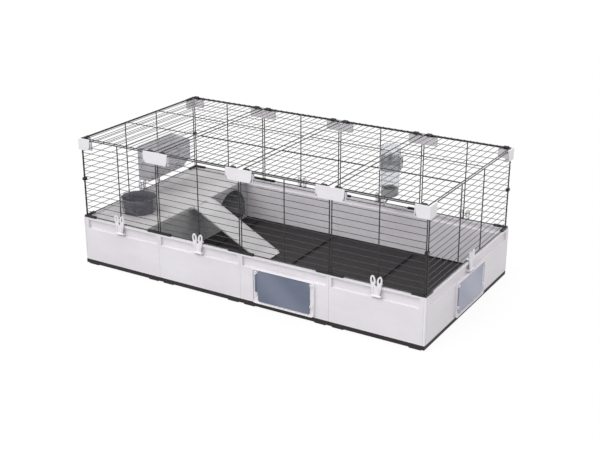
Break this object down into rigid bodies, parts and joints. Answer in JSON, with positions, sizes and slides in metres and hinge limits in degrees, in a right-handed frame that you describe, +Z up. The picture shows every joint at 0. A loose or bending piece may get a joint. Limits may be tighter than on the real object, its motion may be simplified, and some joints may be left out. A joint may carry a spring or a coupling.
{
  "type": "rodent cage",
  "caption": "Long wire cage on a white panelled base with dark floor trays, raised platform, ramp, hideaway, hay rack, bowl, bottle and side windows.",
  "frame": {"origin": "centre of the bottom of the bounding box, on the surface the feet stand on", "axes": "+Z up, +X along the long side to the end with the window, -Y towards the front with the window"},
  "size_m": [1.443, 0.738, 0.5045],
  "materials": {
    "charcoal_plastic": "matte",
    "white_plastic": "satin",
    "grey_plastic": "satin",
    "dark_grey_plastic": "satin",
    "black_wire": "gloss",
    "black_plastic": "gloss",
    "blue_grey_pane": "gloss",
    "smoky_plastic": "gloss",
    "clear_plastic": "gloss",
    "steel": "polished"
  },
  "bodies": {
    "base": {"floor_tray_1": "charcoal_plastic", "floor_tray_2": "charcoal_plastic", "floor_tray_3": "charcoal_plastic", "floor_tray_4": "charcoal_plastic", "front_panel_1": "white_plastic", "front_panel_2": "white_plastic", "front_panel_3": "white_plastic", "front_panel_4": "white_plastic", "back_panel_1": "white_plastic", "back_panel_2": "white_plastic", "back_panel_3": "white_plastic", "back_panel_4": "white_plastic", "left_panel": "white_plastic", "right_panel": "white_plastic", "corner_posts": "white_plastic", "window_frame_front": "white_plastic", "window_frame_right": "white_plastic", "front_mesh_1": "black_wire", "front_mesh_2": "black_wire", "front_mesh_3": "black_wire", "front_mesh_4": "black_wire", "back_mesh_1": "black_wire", "back_mesh_2": "black_wire", "back_mesh_3": "black_wire", "back_mesh_4": "black_wire", "left_mesh": "black_wire", "right_mesh": "black_wire", "connector_covers": "white_plastic", "connector_holders_front": "white_plastic", "connector_holders_back": "white_plastic", "corner_ties": "black_plastic", "base_joint_bars": "black_plastic", "house_wall": "dark_grey_plastic", "bottle_bracket": "smoky_plastic"},
    "roof_1": {"roof_mesh_1": "black_wire"},
    "roof_2": {"roof_mesh_2": "black_wire"},
    "roof_3": {"roof_mesh_3": "black_wire"},
    "roof_4": {"roof_mesh_4": "black_wire"},
    "front_latch_1": {"front_latch_1": "white_plastic"},
    "front_latch_2": {"front_latch_2": "white_plastic"},
    "front_latch_4": {"front_latch_4": "white_plastic"},
    "back_latch_1": {"back_latch_1": "white_plastic"},
    "back_latch_2": {"back_latch_2": "white_plastic"},
    "back_latch_3": {"back_latch_3": "white_plastic"},
    "back_latch_4": {"back_latch_4": "white_plastic"},
    "left_latch": {"left_latch": "white_plastic"},
    "right_latch": {"right_latch": "white_plastic"},
    "window_door_front": {"window_pane_front": "blue_grey_pane"},
    "window_button_front_low": {"window_button_front_low": "white_plastic"},
    "window_button_front_high": {"window_button_front_high": "white_plastic"},
    "window_door_right": {"window_pane_right": "blue_grey_pane"},
    "window_button_right_low": {"window_button_right_low": "white_plastic"},
    "window_button_right_high": {"window_button_right_high": "white_plastic"},
    "platform": {"platform": "grey_plastic"},
    "ramp": {"ramp": "grey_plastic"},
    "bowl": {"bowl": "smoky_plastic"},
    "hay_rack": {"hay_rack": "smoky_plastic"},
    "bottle": {"bottle": "clear_plastic", "bottle_cap": "smoky_plastic"},
    "bottle_ball": {"bottle_ball": "steel"}
  },
  "joints": [
    {"name": "roof_1_hinge", "type": "hinge", "parent": "base", "child": "roof_1", "pos_m": [-0.53438, 0.349, 0.499], "axis": [-1, 0, 0], "range_deg": [0, 110]},
    {"name": "roof_2_hinge", "type": "hinge", "parent": "base", "child": "roof_2", "pos_m": [-0.17813, 0.349, 0.499], "axis": [-1, 0, 0], "range_deg": [0, 110]},
    {"name": "roof_3_hinge", "type": "hinge", "parent": "base", "child": "roof_3", "pos_m": [0.17813, 0.349, 0.499], "axis": [-1, 0, 0], "range_deg": [0, 110]},
    {"name": "roof_4_hinge", "type": "hinge", "parent": "base", "child": "roof_4", "pos_m": [0.53438, 0.349, 0.499], "axis": [-1, 0, 0], "range_deg": [0, 110]},
    {"name": "front_latch_1_hinge", "type": "hinge", "parent": "base", "child": "front_latch_1", "pos_m": [-0.53438, -0.3654, 0.158], "axis": [1, 0, 0], "range_deg": [0, 110]},
    {"name": "front_latch_2_hinge", "type": "hinge", "parent": "base", "child": "front_latch_2", "pos_m": [-0.17813, -0.3654, 0.158], "axis": [1, 0, 0], "range_deg": [0, 110]},
    {"name": "front_latch_4_hinge", "type": "hinge", "parent": "base", "child": "front_latch_4", "pos_m": [0.53438, -0.3654, 0.158], "axis": [1, 0, 0], "range_deg": [0, 110]},
    {"name": "back_latch_1_hinge", "type": "hinge", "parent": "base", "child": "back_latch_1", "pos_m": [-0.53438, 0.3654, 0.158], "axis": [-1, 0, 0], "range_deg": [0, 110]},
    {"name": "back_latch_2_hinge", "type": "hinge", "parent": "base", "child": "back_latch_2", "pos_m": [-0.17813, 0.3654, 0.158], "axis": [-1, 0, 0], "range_deg": [0, 110]},
    {"name": "back_latch_3_hinge", "type": "hinge", "parent": "base", "child": "back_latch_3", "pos_m": [0.17813, 0.3654, 0.158], "axis": [-1, 0, 0], "range_deg": [0, 110]},
    {"name": "back_latch_4_hinge", "type": "hinge", "parent": "base", "child": "back_latch_4", "pos_m": [0.53438, 0.3654, 0.158], "axis": [-1, 0, 0], "range_deg": [0, 110]},
    {"name": "left_latch_hinge", "type": "hinge", "parent": "base", "child": "left_latch", "pos_m": [-0.7179, 0, 0.158], "axis": [0, -1, 0], "range_deg": [0, 110]},
    {"name": "right_latch_hinge", "type": "hinge", "parent": "base", "child": "right_latch", "pos_m": [0.7179, 0, 0.158], "axis": [0, 1, 0], "range_deg": [0, 110]},
    {"name": "window_door_front_hinge", "type": "hinge", "parent": "base", "child": "window_door_front", "pos_m": [0.06813, -0.3662, 0.098], "axis": [0, 0, -1], "range_deg": [0, 100]},
    {"name": "window_button_front_low_turn", "type": "hinge", "parent": "base", "child": "window_button_front_low", "pos_m": [0.29213, -0.366, 0.06], "axis": [0, -1, 0], "range_deg": [0, 90]},
    {"name": "window_button_front_high_turn", "type": "hinge", "parent": "base", "child": "window_button_front_high", "pos_m": [0.29213, -0.366, 0.139], "axis": [0, -1, 0], "range_deg": [0, 90]},
    {"name": "window_door_right_hinge", "type": "hinge", "parent": "base", "child": "window_door_right", "pos_m": [0.7187, -0.11, 0.098], "axis": [0, 0, -1], "range_deg": [0, 100]},
    {"name": "window_button_right_low_turn", "type": "hinge", "parent": "base", "child": "window_button_right_low", "pos_m": [0.7185, 0.114, 0.06], "axis": [1, 0, 0], "range_deg": [0, 90]},
    {"name": "window_button_right_high_turn", "type": "hinge", "parent": "base", "child": "window_button_right_high", "pos_m": [0.7185, 0.114, 0.139], "axis": [1, 0, 0], "range_deg": [0, 90]},
    {"name": "platform_lift", "type": "slide", "parent": "base", "child": "platform", "axis": [0, 0, 1], "range_m": [0, 0.015]},
    {"name": "ramp_hinge", "type": "hinge", "parent": "platform", "child": "ramp", "pos_m": [-0.422, 0, 0.184], "axis": [0, -1, 0], "range_deg": [0, 60]},
    {"name": "bowl_lift", "type": "slide", "parent": "platform", "child": "bowl", "axis": [0, 0, 1], "range_m": [0, 0.06]},
    {"name": "hay_rack_lift", "type": "slide", "parent": "base", "child": "hay_rack", "axis": [0, 0, 1], "range_m": [0, 0.012]},
    {"name": "bottle_lift", "type": "slide", "parent": "base", "child": "bottle", "axis": [0, 0, 1], "range_m": [0, 0.04]},
    {"name": "ball_valve", "type": "slide", "parent": "bottle", "child": "bottle_ball", "axis": [0, 0.9336, 0.3584], "range_m": [0, 0.001]}
  ]
}
